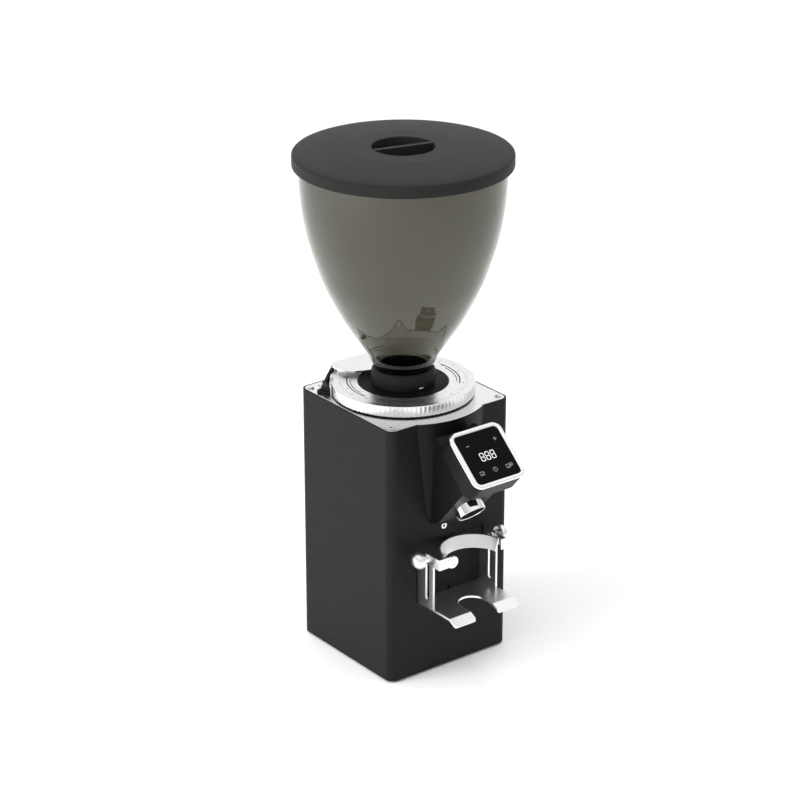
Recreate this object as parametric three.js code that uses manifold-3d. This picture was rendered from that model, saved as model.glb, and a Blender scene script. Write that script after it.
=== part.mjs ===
// On-demand burr coffee grinder: square casework, glass-type bean hopper, large stepless
// grind dial, tilted touch display, dosing chute and portafilter fork.
// Millimetres, +Z up, front towards -Y. The pieces are drawn with y = 0 at the middle of the
// casework; the finished object is moved along y until the middle of its overall depth is at 0.
import * as THREE from "three";
import { mergeVertices } from "three/addons/utils/BufferGeometryUtils.js";
import Module from "manifold-3d";

const wasm = await Module();
wasm.setup();

// ---------- driving dimensions ----------
const GAP = 0.3; // clearance between neighbouring pieces
const FOOT_H = 2.0; // how far the feet stand below the casework
const W = 170; // casework width
const D = 169.4; // casework depth
const Z_TOP = 310.5; // top edge of the casework
const WALL = 1.8; // casework sheet
const CORNER = 10.2; // casework corner radius
const AY = 1.7; // y of the grinding axis
const FRONT = -D / 2; // front face of the casework
const INNER_X = W / 2 - WALL;
const INNER_Y = D / 2 - WALL;

const PLATE_T = 3; // top plate
const PLATE_TOP = 310.6;
const BULGE_R = 92.1; // front bulge of the top plate
const BULGE_X = 45.3; // half width of the bulge where it leaves the casework
const BULGE_Y = -4.4;

const DIAL_R = 81.5;
const DIAL_Z0 = 312.3;
const DIAL_Z1 = 325.3;
const DISC_R = 51; // burr carrier flange seen inside the dial
const DISC_Z = 323.6;

const COLLAR_Z1 = 342.5;
const LID_R = 122.6;
const LID_Z0 = 579.7;
const HOPPER_TOP = 591.4;

const TILT = THREE.MathUtils.degToRad(49.1); // display face from the vertical
const HEAD_C = new THREE.Vector3(0, -149.8, 285.2); // centre of the display face
const HEAD_W = 36.2; // half width
const HEAD_H = 35.7; // half height
const HEAD_D = 28; // depth
const HEAD_R = 11; // corner radius
const GLASS = 28.6; // half side of the display glass

const CHUTE_MOUTH = new THREE.Vector3(0, -123.8, 203.9);
const CHUTE_ANGLE = THREE.MathUtils.degToRad(44);
const CHUTE_R = 16.8;
const CHUTE_BORE = 15.2;
const CHUTE_L = 38;

const REC_X = 48.3; // recess in the front face
const REC_Z0 = 92.2;
const REC_Z1 = 164;
const REC_FACE = FRONT + 2.1;

const FORK_X = 46.5; // half width of the fork bracket
const FORK_T = 2.5;
const FORK_Z = 95.2; // top of the fork plate
const FORK_FRONT = -143.4; // bend of the fork lips
const SLOT_Y = -102.7;
const SLOT_W = 6.4;
const HOOK_Z = 155.5; // hook stud height at rest

const BAND_Y = -128.2;
const BAND_Z0 = 148.3;
const BAND_Z1 = 163.2;

const SHAFT_R = 7;
const MOTOR_R = 50;
const DUCT_Z = 253.5;

// ---------- shape helpers ----------
// facets of a full turn, a multiple of four so each circle reaches its full width
const FINENESS = 0.5;
const facets = (n) => Math.max(12, 4 * Math.round((n * FINENESS) / 4));

function solid(geometry) {
  const g = geometry.clone();
  g.deleteAttribute("normal");
  g.deleteAttribute("uv");
  const m = mergeVertices(g, 1e-4);
  let tri = new Uint32Array(m.index.array);
  const make = () =>
    new wasm.Manifold(
      new wasm.Mesh({
        numProp: 3,
        vertProperties: new Float32Array(m.attributes.position.array),
        triVerts: tri,
      }),
    );
  let s = make();
  if (s.volume() < 0) {
    for (let i = 0; i < tri.length; i += 3)
      [tri[i + 1], tri[i + 2]] = [tri[i + 2], tri[i + 1]];
    s = make();
  }
  return s;
}

function toGeometry(s) {
  const mesh = s.getMesh();
  const n = mesh.numProp;
  const pos = new Float32Array((mesh.vertProperties.length / n) * 3);
  for (let i = 0; i < pos.length / 3; i++)
    for (let k = 0; k < 3; k++) pos[i * 3 + k] = mesh.vertProperties[i * n + k];
  const g = new THREE.BufferGeometry();
  g.setAttribute("position", new THREE.BufferAttribute(pos, 3));
  g.setIndex(Array.from(mesh.triVerts));
  g.computeVertexNormals();
  return g;
}

const union = (...list) => list.reduce((a, b) => a.add(b));
const cut = (a, ...list) => list.reduce((s, b) => s.subtract(b), a);

function box(x0, x1, y0, y1, z0, z1) {
  const g = new THREE.BoxGeometry(x1 - x0, y1 - y0, z1 - z0);
  g.translate((x0 + x1) / 2, (y0 + y1) / 2, (z0 + z1) / 2);
  return solid(g);
}

// Turned solid: profile of [radius, height] pairs, turned about a vertical axis at (x, y).
function turned(profile, seg = 48, x = 0, y = AY) {
  const p = profile.map(([r, z]) => new THREE.Vector2(r, z));
  if (!(profile[0][0] === 0 && profile[profile.length - 1][0] === 0))
    p.push(p[0].clone());
  const g = new THREE.LatheGeometry(p, facets(seg));
  g.rotateX(Math.PI / 2);
  g.translate(x, y, 0);
  return solid(g);
}

// The same, about an axis through origin `o` along the unit vector `dir`.
function turnedAlong(profile, o, dir, seg = 32) {
  const p = profile.map(([r, z]) => new THREE.Vector2(r, z));
  if (!(profile[0][0] === 0 && profile[profile.length - 1][0] === 0))
    p.push(p[0].clone());
  const g = new THREE.LatheGeometry(p, facets(seg));
  const q = new THREE.Quaternion().setFromUnitVectors(
    new THREE.Vector3(0, 1, 0),
    dir.clone().normalize(),
  );
  g.applyQuaternion(q);
  g.translate(o.x, o.y, o.z);
  return solid(g);
}

const rod = (r, z0, z1, seg, x, y) =>
  turned(
    [
      [0, z0],
      [r, z0],
      [r, z1],
      [0, z1],
    ],
    seg,
    x,
    y,
  );

function tube(ro, ri, z0, z1, seg, x, y) {
  return turned(
    [
      [ri, z0],
      [ro, z0],
      [ro, z1],
      [ri, z1],
    ],
    seg,
    x,
    y,
  );
}

function shapeOf(points) {
  return new THREE.Shape(points.map(([x, y]) => new THREE.Vector2(x, y)));
}

function roundRect(hw, hh, r, cx = 0, cy = 0) {
  const s = new THREE.Shape();
  s.moveTo(cx - hw + r, cy - hh);
  s.lineTo(cx + hw - r, cy - hh);
  s.absarc(cx + hw - r, cy - hh + r, r, -Math.PI / 2, 0, false);
  s.lineTo(cx + hw, cy + hh - r);
  s.absarc(cx + hw - r, cy + hh - r, r, 0, Math.PI / 2, false);
  s.lineTo(cx - hw + r, cy + hh);
  s.absarc(cx - hw + r, cy + hh - r, r, Math.PI / 2, Math.PI, false);
  s.lineTo(cx - hw, cy - hh + r);
  s.absarc(cx - hw + r, cy - hh + r, r, Math.PI, Math.PI * 1.5, false);
  return s;
}

function extrudeZ(shape, z0, z1, curveSegments = 5) {
  const g = new THREE.ExtrudeGeometry(shape, {
    depth: z1 - z0,
    bevelEnabled: false,
    curveSegments,
  });
  g.translate(0, 0, z0);
  return solid(g);
}

// Shape drawn in (x, z), extruded along y.
function extrudeY(shape, y0, y1, curveSegments = 5) {
  const g = new THREE.ExtrudeGeometry(shape, {
    depth: y1 - y0,
    bevelEnabled: false,
    curveSegments,
  });
  g.rotateX(Math.PI / 2);
  g.translate(0, y1, 0);
  return solid(g);
}

// Shape drawn in (y, z), extruded along x.
function extrudeX(shape, x0, x1, curveSegments = 5) {
  const g = new THREE.ExtrudeGeometry(shape, {
    depth: x1 - x0,
    bevelEnabled: false,
    curveSegments,
  });
  g.rotateX(Math.PI / 2);
  g.rotateZ(Math.PI / 2);
  g.translate(x0, 0, 0);
  return solid(g);
}

// Frame of the display head: x across, y up the face, z out of the face.
const headMatrix = new THREE.Matrix4()
  .makeBasis(
    new THREE.Vector3(1, 0, 0),
    new THREE.Vector3(0, Math.sin(TILT), Math.cos(TILT)),
    new THREE.Vector3(0, -Math.cos(TILT), Math.sin(TILT)),
  )
  .setPosition(HEAD_C);

function extrudeHead(shape, z0, z1, curveSegments = 5) {
  const g = new THREE.ExtrudeGeometry(shape, {
    depth: z1 - z0,
    bevelEnabled: false,
    curveSegments,
  });
  g.translate(0, 0, z0);
  g.applyMatrix4(headMatrix);
  return solid(g);
}

const headPoint = (x, up, out) =>
  new THREE.Vector3(x, up, out).applyMatrix4(headMatrix);

// ---------- materials ----------
const paint = (color, roughness, metalness, extra = {}) =>
  new THREE.MeshStandardMaterial({ color, roughness, metalness, ...extra });
const M = {
  blackPaint: () => paint(0x2b2b2b, 0.45, 0.2),
  blackPlastic: () => paint(0x242424, 0.5, 0),
  lidPlastic: () => paint(0x3a3a39, 0.55, 0),
  smoked: () =>
    paint(0x55564a, 0.1, 0, { transparent: true, opacity: 0.55 }),
  polished: () => paint(0xe6e6e4, 0.12, 1),
  chrome: () => paint(0xf2f2f2, 0.06, 1),
  aluminium: () => paint(0xc9cacb, 0.35, 1),
  steel: () => paint(0x9c9ea0, 0.3, 1),
  copper: () => paint(0x8a4b2c, 0.45, 0.8),
  rubber: () => paint(0x191919, 0.8, 0),
  glass: () => paint(0x08080a, 0.05, 0),
  board: () => paint(0x14532d, 0.5, 0),
  lens: () => paint(0xf5f5f0, 0.2, 0),
};

const model = new THREE.Group();
function add(name, s, material) {
  const mesh = new THREE.Mesh(toGeometry(s), material);
  mesh.name = name;
  model.add(mesh);
}

// ---------- casework ----------
{
  let s = extrudeZ(roundRect(W / 2, D / 2, CORNER), FOOT_H, Z_TOP, 6);
  s = cut(
    s,
    extrudeZ(roundRect(INNER_X, INNER_Y, CORNER - WALL), 0, Z_TOP + 1, 6),
    // notch that lets the plate's front bulge pass over the front wall
    box(
      -BULGE_X - GAP,
      BULGE_X + GAP,
      FRONT - 1,
      FRONT + WALL + 1,
      PLATE_TOP - PLATE_T - GAP,
      Z_TOP + 1,
    ),
    // front recess
    extrudeY(
      roundRect(REC_X, (REC_Z1 - REC_Z0) / 2, 2, 0, (REC_Z0 + REC_Z1) / 2),
      FRONT - 1,
      FRONT + WALL + 1,
      2,
    ),
    // outlet of the grounds duct
    turnedAlong(
      [
        [0, 0],
        [16.4, 0],
        [16.4, 8],
        [0, 8],
      ],
      new THREE.Vector3(0, FRONT - 3, DUCT_Z),
      new THREE.Vector3(0, 1, 0),
      24,
    ),
    // work light
    turnedAlong(
      [
        [0, 0],
        [2.7, 0],
        [2.7, 8],
        [0, 8],
      ],
      new THREE.Vector3(-9.4, FRONT - 3, 178.3),
      new THREE.Vector3(0, 1, 0),
      12,
    ),
    // rear service opening
    extrudeY(roundRect(60, 122, 4, 0, 152), D / 2 - 6, D / 2 + 2, 2),
  );
  add("body_shell", s, M.blackPaint());
}
{
  let s = extrudeZ(
    roundRect(INNER_X - GAP, INNER_Y - GAP, CORNER - WALL - GAP),
    4,
    5.8,
    4,
  );
  for (let i = -2; i <= 2; i++)
    s = cut(s, box(-32, 32, AY + i * 12 - 2, AY + i * 12 + 2, 3, 7));
  add("base_plate", s, M.blackPaint());
}
for (const [name, x, y] of [
  ["foot_front_left", -68, -68],
  ["foot_front_right", 68, -68],
  ["foot_rear_left", -68, 68],
  ["foot_rear_right", 68, 68],
])
  add(
    name,
    turned(
      [
        [0, 0],
        [9, 0],
        [10, 1],
        [10, 3.7],
        [0, 3.7],
      ],
      20,
      x,
      y,
    ),
    M.rubber(),
  );

// rear cover with louvres, power inlet and switch openings
{
  let s = extrudeY(
    roundRect(60 - GAP, 122 - GAP, 3.7, 0, 152),
    D / 2 - WALL,
    D / 2,
    2,
  );
  for (let i = 0; i < 9; i++)
    s = cut(
      s,
      box(-40, 40, D / 2 - 4, D / 2 + 2, 150 + i * 12, 154 + i * 12),
    );
  s = cut(
    s,
    box(-44.3, -15.7, D / 2 - 4, D / 2 + 2, 43.7, 66.3),
    box(18.7, 41.3, D / 2 - 4, D / 2 + 2, 39.7, 70.3),
  );
  add("rear_cover", s, M.blackPaint());
}
{
  let s = union(
    box(-44, -16, 62, D / 2 + 1, 44, 66),
    box(-47, -13, D / 2 + 0.4, D / 2 + 2.2, 41, 69),
  );
  s = cut(s, box(-41, -19, 70, D / 2 + 3, 47, 63));
  s = union(
    s,
    box(-37.5, -35.5, 66, 81, 52, 56),
    box(-24.5, -22.5, 66, 81, 52, 56),
    box(-31, -29, 66, 81, 56.5, 60.5),
  );
  add("power_inlet", s, M.blackPlastic());
}
{
  let s = union(
    box(19, 41, 66, D / 2 + 1, 40, 70),
    box(17, 43, D / 2 + 0.4, D / 2 + 2, 37.5, 72.5),
  );
  s = cut(s, box(21.5, 38.5, 70, D / 2 + 3, 43, 67));
  add("switch_frame", s, M.blackPlastic());
}
{
  // rocker, at rest tipped to its off side
  const g = extrudeX(
    shapeOf([
      [-10, -9.5],
      [1.6, -11],
      [0.2, 0],
      [1.6, 11],
      [-10, 9.5],
    ]),
    -8.1,
    8.1,
  );
  const m = new THREE.Matrix4()
    .makeTranslation(30, D / 2 + 0.4, 55)
    .multiply(new THREE.Matrix4().makeRotationX(THREE.MathUtils.degToRad(-5)));
  const t = toGeometry(g);
  t.applyMatrix4(m);
  add("power_rocker", solid(t), M.blackPlastic());
}

// ---------- top plate ----------
{
  const body = extrudeZ(
    roundRect(INNER_X - GAP, INNER_Y - GAP, CORNER - WALL - GAP),
    PLATE_TOP - PLATE_T,
    PLATE_TOP,
    5,
  );
  const bulge = turned(
    [
      [0, PLATE_TOP - PLATE_T],
      [BULGE_R, PLATE_TOP - PLATE_T],
      [BULGE_R, PLATE_TOP],
      [0, PLATE_TOP],
    ],
    128,
    0,
    BULGE_Y,
  ).intersect(box(-BULGE_X, BULGE_X, -110, -60, 300, 320));
  let s = union(body, bulge);
  s = cut(s, rod(54.8, 300, 320, 64, 0, AY));
  for (const [x, y] of [
    [-76.5, -74],
    [76.5, -74],
    [-76.5, 74],
    [76.5, 74],
  ])
    s = cut(s, rod(2.4, 300, 320, 12, x, y));
  add("top_plate", s, M.polished());
}
for (const [name, x, y] of [
  ["plate_screw_front_left", -76.5, -74],
  ["plate_screw_front_right", 76.5, -74],
  ["plate_screw_rear_left", -76.5, 74],
  ["plate_screw_rear_right", 76.5, 74],
])
  add(
    name,
    turned(
      [
        [0, 300],
        [2, 300],
        [2, PLATE_TOP + GAP],
        [3.8, PLATE_TOP + GAP],
        [3.6, PLATE_TOP + 1.6],
        [2.4, PLATE_TOP + 2.3],
        [1.3, PLATE_TOP + 2.3],
        [1.3, PLATE_TOP + 1],
        [0, PLATE_TOP + 1],
      ],
      16,
      x,
      y,
    ),
    M.chrome(),
  );

// ---------- front fairing, neck and display head ----------
const chuteDir = new THREE.Vector3(
  0,
  Math.sin(CHUTE_ANGLE),
  Math.cos(CHUTE_ANGLE),
); // up the chute
const rodAlong = (r, o, dir, a, b, seg = 28) =>
  turnedAlong(
    [
      [0, a],
      [r, a],
      [r, b],
      [0, b],
    ],
    o,
    dir,
    seg,
  );
{
  const z1 = PLATE_TOP - PLATE_T - GAP;
  const cone = turned(
    [
      [0, 170],
      [93.8 - 0.0576 * (308.5 - 170), 170],
      [93.8, 308.5],
      [93.8, Z_TOP],
      [BULGE_R + GAP, Z_TOP],
      [BULGE_R + GAP, z1],
      [0, z1],
    ],
    128,
    0,
    BULGE_Y,
  );
  // tongue outline on the front face: straight sides come from the cone, the foot is rounded
  const outline = extrudeY(
    shapeOf([
      [-60, 320],
      [-60, 240],
      [-35.6, 201],
      [-33, 195],
      [-29, 188.6],
      [-23, 185.2],
      [-15, 183.4],
      [0, 182.8],
      [15, 183.4],
      [23, 185.2],
      [29, 188.6],
      [33, 195],
      [35.6, 201],
      [60, 240],
      [60, 320],
    ]),
    -120,
    FRONT - GAP,
  );
  const neck = extrudeX(
    shapeOf([
      [FRONT - GAP, 295.5],
      [-95.8, 295.5],
      [-96.5, 293.9],
      [-148.7, 248.7],
      [-99.5, 191.9],
      [FRONT - GAP, 186],
    ]),
    -28.9,
    28.9,
  );
  let s = union(cone.intersect(outline), neck);
  const wireAt = headPoint(0, 12, -HEAD_D - GAP);
  s = cut(
    s,
    rodAlong(CHUTE_R + GAP, CHUTE_MOUTH, chuteDir, -5, 62, 36),
    rodAlong(16, new THREE.Vector3(0, -84, DUCT_Z), new THREE.Vector3(0, -1, 0), -1, 16, 24),
    rodAlong(
      5,
      wireAt,
      new THREE.Vector3(0, Math.cos(TILT), -Math.sin(TILT)),
      -3,
      40,
      12,
    ),
  );
  add("front_fairing", s, M.blackPlastic());
}
{
  let s = extrudeHead(
    roundRect(HEAD_W - 0.3, HEAD_H - 0.3, HEAD_R - 0.3),
    -HEAD_D,
    -3.3,
    6,
  );
  s = cut(
    s,
    extrudeHead(
      roundRect(HEAD_W - 2.6, HEAD_H - 2.6, HEAD_R - 2.6),
      -HEAD_D + 2.4,
      0,
      5,
    ),
    rodAlong(
      5,
      headPoint(0, 12, -HEAD_D - 2),
      headPoint(0, 0, 1).sub(HEAD_C),
      0,
      8,
      12,
    ),
  );
  add("head_housing", s, M.blackPlastic());
}
{
  let s = extrudeHead(roundRect(HEAD_W, HEAD_H, HEAD_R), -3, 0, 6);
  s = cut(s, extrudeHead(roundRect(GLASS, GLASS, 4.2), -4, 1, 4));
  add("display_bezel", s, M.chrome());
}
add(
  "display_glass",
  extrudeHead(roundRect(GLASS - GAP, GLASS - GAP, 3.9), -3, -0.5, 4),
  M.glass(),
);
add(
  "display_board",
  union(
    extrudeHead(roundRect(26, 26, 2), -8, -6.4, 2),
    extrudeHead(roundRect(14, 6, 1, 0, 2), -6.5, -3.4, 1),
  ),
  M.board(),
);
add(
  "dosing_chute",
  turnedAlong(
    [
      [CHUTE_BORE, 0.5],
      [CHUTE_BORE + 0.4, 0],
      [CHUTE_R - 0.3, 0],
      [CHUTE_R, 0.6],
      [CHUTE_R, CHUTE_L],
      [CHUTE_BORE, CHUTE_L],
    ],
    CHUTE_MOUTH,
    chuteDir,
    36,
  ),
  M.chrome(),
);
add(
  "work_light_ring",
  turnedAlong(
    [
      [0, 1.2],
      [1.4, 1.2],
      [1.4, 0],
      [3.4, 0],
      [3.8, 0.4],
      [3.8, 1.2],
      [2.3, 1.2],
      [2.3, 7],
      [0, 7],
    ],
    new THREE.Vector3(-9.4, FRONT - 1.5, 178.3),
    new THREE.Vector3(0, 1, 0),
    20,
  ),
  M.steel(),
);

// ---------- recess plate ----------
{
  let s = extrudeY(
    roundRect(54, 41, 2, 0, (REC_Z0 + REC_Z1) / 2),
    REC_FACE,
    REC_FACE + 1.5,
    2,
  );
  const alongY = new THREE.Vector3(0, 1, 0);
  s = cut(
    s,
    rodAlong(3.4, new THREE.Vector3(0, REC_FACE - 2, 156), alongY, 0, 6, 16),
    rodAlong(2, new THREE.Vector3(0, REC_FACE - 2, 97.4), alongY, 0, 6, 12),
  );
  add("recess_plate", s, M.blackPaint());
}

// ---------- portafilter fork ----------
{
  const back = REC_FACE - GAP;
  const floor = extrudeX(
    shapeOf([
      [back, FORK_Z],
      [FORK_FRONT, FORK_Z],
      [-154.3, 89.2],
      [-153.1, 87],
      [FORK_FRONT + 0.6, FORK_Z - FORK_T],
      [back, FORK_Z - FORK_T],
    ]),
    -FORK_X,
    FORK_X,
  );
  const slotHalf = 15.9;
  const outline = new THREE.Shape();
  const r = 4.3;
  outline.moveTo(-FORK_X, back + 5);
  outline.lineTo(-FORK_X, -154.3 + r);
  outline.absarc(-FORK_X + r, -154.3 + r, r, Math.PI, Math.PI * 1.5, false);
  outline.lineTo(-slotHalf - r, -154.3);
  outline.absarc(-slotHalf - r, -154.3 + r, r, -Math.PI / 2, 0, false);
  outline.lineTo(-slotHalf, -125.5);
  outline.absarc(0, -125.5, slotHalf, Math.PI, 0, true);
  outline.lineTo(slotHalf, -154.3 + r);
  outline.absarc(slotHalf + r, -154.3 + r, r, Math.PI, Math.PI * 1.5, false);
  outline.lineTo(FORK_X - r, -154.3);
  outline.absarc(FORK_X - r, -154.3 + r, r, -Math.PI / 2, 0, false);
  outline.lineTo(FORK_X, back + 5);
  let s = floor.intersect(extrudeZ(outline, 80, 100, 7));
  const side = new THREE.Shape();
  side.moveTo(back, FORK_Z - FORK_T);
  side.lineTo(back, 147);
  side.lineTo(-97.6, 158.3);
  side.absarc(SLOT_Y, HOOK_Z, 5.4, 0.5, Math.PI - 0.5, false);
  side.lineTo(-113, 146.5);
  side.lineTo(-113, FORK_Z - FORK_T);
  const slot = new THREE.Shape();
  const sw = SLOT_W / 2;
  slot.moveTo(SLOT_Y + sw, 106);
  slot.lineTo(SLOT_Y + sw, HOOK_Z + 0.3);
  slot.absarc(SLOT_Y, HOOK_Z + 0.3, sw, 0, Math.PI, false);
  slot.lineTo(SLOT_Y - sw, 106);
  slot.absarc(SLOT_Y, 106, sw, Math.PI, Math.PI * 2, false);
  for (const k of [-1, 1]) {
    const x0 = k < 0 ? -FORK_X : FORK_X - FORK_T;
    s = union(
      s,
      cut(
        extrudeX(side, x0, x0 + FORK_T, 6),
        extrudeX(slot, x0 - 1, x0 + FORK_T + 1, 6),
      ),
    );
  }
  add("fork_bracket", s, M.polished());
}

// Hooks: mirror = -1 for the left, +1 for the right.
for (const [label, k] of [
  ["left", -1],
  ["right", 1],
]) {
  const out = new THREE.Vector3(k, 0, 0);
  const stud = new THREE.Vector3(0, SLOT_Y, HOOK_Z);
  const xa = FORK_X + GAP; // inner face of the arm
  const xb = 48.9; // outer face of the arm
  const hz = 6.4; // half height of the arm
  const side = new THREE.Shape();
  side.moveTo(-127.3, HOOK_Z - hz);
  side.lineTo(SLOT_Y, HOOK_Z - hz);
  side.absarc(SLOT_Y, HOOK_Z, hz, -Math.PI / 2, Math.PI / 2, false);
  side.lineTo(-127.3, HOOK_Z + hz);
  const x0 = k < 0 ? -xb : xa;
  let arm = extrudeX(side, x0, x0 + xb - xa, 6);
  // the left arm carries a round pad at its end; the right one ends beside the push band
  arm = union(
    arm,
    k < 0
      ? union(
          box(-xb, -29.8, -127.3, -125.2, HOOK_Z - hz, HOOK_Z + hz),
          turnedAlong(
            [
              [0, 0],
              [3.4, 0],
              [3.4, -0.6],
              [4.1, -0.6],
              [4.1, 0],
              [6.7, 0],
              [7.2, 0.5],
              [7.2, 3.6],
              [0, 3.6],
            ],
            new THREE.Vector3(-29.8, -128.2, HOOK_Z - 0.9),
            new THREE.Vector3(0, 1, 0),
            24,
          ),
        )
      : box(39.9, xb, -127.3, -125.2, HOOK_Z - hz, HOOK_Z + hz),
    turnedAlong(
      [
        [0, xb - 0.5],
        [5.3, xb - 0.5],
        [5.3, 52.6],
        [4.2, 55],
        [0, 55],
      ],
      stud,
      out,
      24,
    ),
  );
  arm = cut(arm, rodAlong(3.2, stud, out, 40, 60, 16));
  add("hook_arm_" + label, arm, M.polished());

  add(
    "hook_bolt_" + label,
    turnedAlong(
      [
        [0, FORK_X - FORK_T + 1],
        [2.9, FORK_X - FORK_T + 1],
        [2.9, 61],
        [0, 61],
      ],
      stud,
      out,
      16,
    ),
    M.steel(),
  );
  add(
    "hook_knob_" + label,
    turnedAlong(
      [
        [3.2, 55.3],
        [5, 55.3],
        [5, 60],
        [8.4, 59.6],
        [8.8, 56],
        [9.8, 56],
        [10, 57],
        [9.8, 60.4],
        [8.4, 63.4],
        [5.6, 65.2],
        [0, 65.8],
        [0, 61.3],
        [3.2, 61.3],
      ],
      stud,
      out,
      28,
    ),
    M.polished(),
  );
}

// ---------- portafilter push band, its rod and the microswitch ----------
{
  const full = turned(
    [
      [32.6, BAND_Z0],
      [34.6, BAND_Z0],
      [39.6, BAND_Z1],
      [37.6, BAND_Z1],
    ],
    72,
    0,
    BAND_Y,
  );
  const right = THREE.MathUtils.degToRad(5);
  const left = THREE.MathUtils.degToRad(170);
  const wedge = extrudeZ(
    shapeOf([
      [0, BAND_Y],
      [60 * Math.cos(right), BAND_Y + 60 * Math.sin(right)],
      [60, BAND_Y + 60],
      [-60, BAND_Y + 60],
      [60 * Math.cos(left), BAND_Y + 60 * Math.sin(left)],
    ]),
    140,
    170,
  );
  add("push_band", full.intersect(wedge), M.polished());
  add(
    "push_rod",
    turnedAlong(
      [
        [0, 0],
        [5, 0],
        [5, 1.4],
        [3, 1.4],
        [3, 24.6],
        [0, 24.6],
      ],
      new THREE.Vector3(0, -90.3, 156),
      new THREE.Vector3(0, 1, 0),
      16,
    ).subtract(
      turned(
        [
          [0, BAND_Z0 - 5],
          [34.6 - 1.67 + GAP + 0.15, BAND_Z0 - 5],
          [39.6 + 1.67 + GAP + 0.15, BAND_Z1 + 5],
          [0, BAND_Z1 + 5],
        ],
        72,
        0,
        BAND_Y,
      ),
    ),
    M.steel(),
  );
  add(
    "microswitch",
    union(
      box(-10, 10, -61.6, -52, 150.5, 161.5),
      box(-3, 3, -62.2, -61, 154, 158),
    ),
    M.blackPlastic(),
  );
}

// ---------- grinding unit ----------
{
  const zt = PLATE_TOP - PLATE_T - GAP;
  let s = turned(
    [
      [9, 236],
      [52, 236],
      [52, 300],
      [68, 300],
      [68, zt],
      [54.4, zt],
      [54.4, 311.6],
      [50, 311.6],
      [50, 314.8],
      [44.6, 314.8],
      [44.6, 241],
      [9, 241],
    ],
    56,
  );
  const y = new THREE.Vector3(0, -1, 0);
  s = union(
    s,
    rodAlong(17.4, new THREE.Vector3(0, AY, DUCT_Z), y, 47, 57, 24),
  );
  s = cut(s, rodAlong(12, new THREE.Vector3(0, AY, DUCT_Z), y, 38, 60, 20));
  // the widened boss must not close the burr room
  s = cut(s, rod(44.6, 241, 300, 56, 0, AY));
  add("grinding_chamber", s, M.aluminium());
}
add(
  "grounds_duct",
  turnedAlong(
    [
      [12.2, 57.3],
      [15.6, 57.3],
      [15.6, 95],
      [12.2, 95],
    ],
    new THREE.Vector3(0, AY, DUCT_Z),
    new THREE.Vector3(0, -1, 0),
    24,
  ),
  M.blackPlastic(),
);
{
  let s = turned(
    [
      [30.9, 326.2],
      [29, 323.6],
      [29, 280],
      [27, 274],
      [19, 266.5],
      [40, 266.5],
      [44.1, 270],
      [44.1, 315.9],
      [DISC_R, 315.9],
      [DISC_R, DISC_Z - 0.3],
      [DISC_R - 0.3, DISC_Z],
      [33.2, DISC_Z],
      [33.2, 326.2],
    ],
    56,
  );
  add("burr_carrier", s, M.blackPaint());
}
add(
  "upper_burr",
  turned(
    [
      [19, 266.2],
      [22, 259.2],
      [28, 258],
      [32, 258],
      [32, 266.2],
    ],
    40,
  ),
  M.steel(),
);
add(
  "lower_burr",
  turned(
    [
      [19, 249.5],
      [32, 249.5],
      [32, 257.6],
      [28, 257.6],
      [22, 256.2],
      [19, 253],
    ],
    40,
  ),
  M.steel(),
);
{
  let s = turned(
    [
      [SHAFT_R + 0.3, 242.5],
      [38, 242.5],
      [38, 249.2],
      [17, 249.2],
      [14, 255],
      [SHAFT_R + 0.3, 255],
    ],
    32,
  );
  for (let i = 0; i < 3; i++) {
    const g = new THREE.BoxGeometry(7.4, 4, 6.4);
    g.translate(39.4, 0, 246);
    g.rotateZ((i * 2 * Math.PI) / 3);
    g.translate(0, AY, 0);
    s = union(s, solid(g));
  }
  add("rotor_carrier", s, M.aluminium());
}
add(
  "motor_shaft",
  turned(
    [
      [0, 56],
      [SHAFT_R, 56],
      [SHAFT_R, 257.5],
      [5, 259],
      [0, 259],
    ],
    64,
  ),
  M.steel(),
);
add(
  "motor_rotor",
  tube(29.5, SHAFT_R + 0.3, 105, 195, 32, 0, AY),
  M.steel(),
);
{
  let s = tube(MOTOR_R, 30.5, 100, 200, 48, 0, AY);
  for (let i = 0; i < 6; i++) {
    const a = (i * Math.PI) / 3;
    s = cut(
      s,
      rod(3.3, 90, 210, 8, 40 * Math.cos(a), AY + 40 * Math.sin(a)),
    );
  }
  add("motor_stator", s, M.steel());
}
{
  // end turns above and below the stator, joined through its slots
  let s = union(
    tube(45, 33, 200.3, 216, 32, 0, AY),
    tube(45, 33, 84, 99.7, 32, 0, AY),
  );
  for (let i = 0; i < 6; i++) {
    const a = (i * Math.PI) / 3;
    s = union(
      s,
      rod(2.9, 95, 205, 8, 40 * Math.cos(a), AY + 40 * Math.sin(a)),
    );
  }
  add("motor_winding", s, M.copper());
}
add(
  "motor_bell_upper",
  turned(
    [
      [17.2, 222],
      [20, 218.5],
      [47, 218.5],
      [47, 200.3],
      [MOTOR_R, 200.3],
      [MOTOR_R, 235.7],
      [11, 235.7],
      [11, 233],
      [17.2, 233],
    ],
    48,
  ),
  M.aluminium(),
);
add(
  "motor_bell_lower",
  turned(
    [
      [11, 68.6],
      [MOTOR_R - 8, 68.6],
      [MOTOR_R, 76],
      [MOTOR_R, 99.7],
      [47, 99.7],
      [47, 81.6],
      [17.2, 81.6],
      [17.2, 71],
      [11, 71],
    ],
    48,
  ),
  M.aluminium(),
);
add("bearing_upper", tube(17, SHAFT_R + 0.08, 222.2, 232.8, 64, 0, AY), M.steel());
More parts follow.
